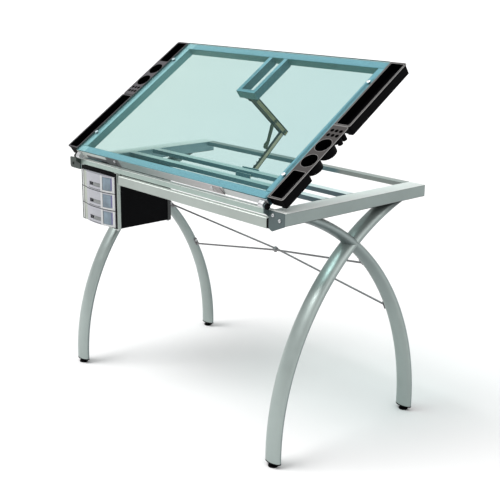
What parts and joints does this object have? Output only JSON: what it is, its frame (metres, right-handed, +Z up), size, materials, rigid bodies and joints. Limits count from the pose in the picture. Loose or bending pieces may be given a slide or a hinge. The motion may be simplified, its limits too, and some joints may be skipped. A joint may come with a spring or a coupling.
{
  "type": "glass-top drafting table",
  "caption": "Glass-top drafting table with a tilting top on a ratchet arm, lift-out side trays, a sliding pencil ledge, hanging drawers and crossed curved tube legs.",
  "frame": {"origin": "centre of the footprint on the floor, under the four levelling feet", "axes": "+X to the user's right, +Y away from the user towards the raised back edge, +Z up"},
  "size_m": [1.088, 0.633, 1.1436],
  "materials": {
    "silver_coat": "satin silver powder coat with a faint green-grey cast",
    "black_coat": "satin black powder coat",
    "zinc_steel": "olive-yellow passivated zinc on pressed steel",
    "screw_steel": "bright plated screws, bolts and pins",
    "tinted_glass": "clear tempered glass with a blue-green edge and tint",
    "black_plastic": "black injection-moulded plastic with a soft sheen",
    "frosted_plastic": "frosted translucent moulded plastic",
    "clear_plastic": "pale moulded plastic clip"
  },
  "bodies": {
    "base": {"arm_base_bracket": "zinc_steel", "arm_base_pin": "screw_steel", "brace_bolts": "screw_steel", "brace_clip": "clear_plastic", "brace_rod_falling": "silver_coat", "brace_rod_rising": "silver_coat", "cabinet_floor": "black_plastic", "cabinet_hanger_back": "black_coat", "cabinet_hanger_front": "silver_coat", "cabinet_rear": "black_plastic", "cabinet_roof": "black_plastic", "cabinet_shelves": "black_plastic", "cabinet_wall_left": "black_plastic", "cabinet_wall_right": "black_plastic", "corner_bracket_left": "black_coat", "corner_bracket_right": "silver_coat", "cross_rail_back": "silver_coat", "cross_rail_front": "silver_coat", "cross_rail_middle": "silver_coat", "frame_screws": "screw_steel", "front_rail_lower": "silver_coat", "front_rail_upper": "silver_coat", "leg_back_foot_left": "silver_coat", "leg_back_foot_right": "silver_coat", "leg_front_foot_left": "silver_coat", "leg_front_foot_right": "silver_coat", "leg_plugs": "black_plastic", "leg_top_left": "silver_coat", "leg_top_right": "silver_coat", "side_rail_left": "silver_coat", "side_rail_right": "silver_coat", "tube_end_plugs": "black_plastic"},
    "top": {"top_tube_back": "silver_coat", "top_tube_front": "silver_coat", "top_tube_left": "silver_coat", "top_tube_right": "silver_coat", "glass_top": "tinted_glass", "top_screws": "screw_steel", "hinge_pins": "screw_steel", "tray_brackets": "silver_coat", "arm_yoke": "silver_coat", "arm_head_bracket": "zinc_steel", "hinge_cap_left": "black_plastic", "hinge_cap_right": "black_plastic"},
    "pencil_ledge": {"pencil_ledge": "silver_coat"},
    "arm_lower": {"arm_lower_link": "zinc_steel"},
    "arm_upper": {"arm_upper_link": "zinc_steel", "arm_pins": "screw_steel"},
    "arm_pawl": {"arm_pawl": "zinc_steel"},
    "tray_organizer_left": {"tray_organizer_left": "black_plastic"},
    "tray_organizer_right": {"tray_organizer_right": "black_plastic"},
    "tray_long_left": {"tray_long_left": "black_plastic"},
    "tray_long_right": {"tray_long_right": "black_plastic"},
    "drawer_bottom": {"drawer_bottom": "frosted_plastic"},
    "drawer_middle": {"drawer_middle": "frosted_plastic"},
    "drawer_top": {"drawer_top": "frosted_plastic"},
    "leveler_front_left": {"leveler_front_left": "black_plastic"},
    "leveler_front_right": {"leveler_front_right": "black_plastic"},
    "leveler_back_left": {"leveler_back_left": "black_plastic"},
    "leveler_back_right": {"leveler_back_right": "black_plastic"}
  },
  "joints": [
    {"name": "top_tilt", "type": "hinge", "parent": "base", "child": "top", "pos_m": [0, -0.312, 0.778], "axis": [-1, 0, 0], "range_deg": [0, 34.6]},
    {"name": "arm_lower", "type": "hinge", "parent": "base", "child": "arm_lower", "pos_m": [0.022, 0.052, 0.755], "axis": [-1, 0, 0], "range_deg": [0, 125]},
    {"name": "arm_upper", "type": "hinge", "parent": "arm_lower", "child": "arm_upper", "pos_m": [0.022, 0.1853, 0.877], "axis": [-1, 0, 0], "range_deg": [-66, 0]},
    {"name": "arm_pawl", "type": "hinge", "parent": "arm_upper", "child": "arm_pawl", "pos_m": [0.022, 0.14229, 0.91591], "axis": [-1, 0, 0], "range_deg": [0, 92]},
    {"name": "pencil_ledge_lift", "type": "slide", "parent": "top", "child": "pencil_ledge", "axis": [0, -0.5678, 0.8231], "range_m": [0, 0.018]},
    {"name": "tray_organizer_left_lift", "type": "slide", "parent": "top", "child": "tray_organizer_left", "axis": [0, -0.5678, 0.8231], "range_m": [0, 0.04]},
    {"name": "tray_organizer_right_lift", "type": "slide", "parent": "top", "child": "tray_organizer_right", "axis": [0, -0.5678, 0.8231], "range_m": [0, 0.04]},
    {"name": "tray_long_left_lift", "type": "slide", "parent": "top", "child": "tray_long_left", "axis": [0, -0.5678, 0.8231], "range_m": [0, 0.04]},
    {"name": "tray_long_right_lift", "type": "slide", "parent": "top", "child": "tray_long_right", "axis": [0, -0.5678, 0.8231], "range_m": [0, 0.04]},
    {"name": "drawer_bottom_slide", "type": "slide", "parent": "base", "child": "drawer_bottom", "axis": [0, -1, 0], "range_m": [0, 0.17]},
    {"name": "drawer_middle_slide", "type": "slide", "parent": "base", "child": "drawer_middle", "axis": [0, -1, 0], "range_m": [0, 0.17]},
    {"name": "drawer_top_slide", "type": "slide", "parent": "base", "child": "drawer_top", "axis": [0, -1, 0], "range_m": [0, 0.17]},
    {"name": "leveler_front_left_screw", "type": "slide", "parent": "base", "child": "leveler_front_left", "axis": [0, 0, -1], "range_m": [0, 0.012]},
    {"name": "leveler_front_right_screw", "type": "slide", "parent": "base", "child": "leveler_front_right", "axis": [0, 0, -1], "range_m": [0, 0.012]},
    {"name": "leveler_back_left_screw", "type": "slide", "parent": "base", "child": "leveler_back_left", "axis": [0, 0, -1], "range_m": [0, 0.012]},
    {"name": "leveler_back_right_screw", "type": "slide", "parent": "base", "child": "leveler_back_right", "axis": [0, 0, -1], "range_m": [0, 0.012]}
  ],
  "couplings": [
    {"joint": "arm_lower", "follows": "top_tilt", "ratio": 3.611},
    {"joint": "arm_upper", "follows": "top_tilt", "ratio": -1.8965},
    {"joint": "arm_pawl", "follows": "top_tilt", "ratio": 2.63}
  ]
}
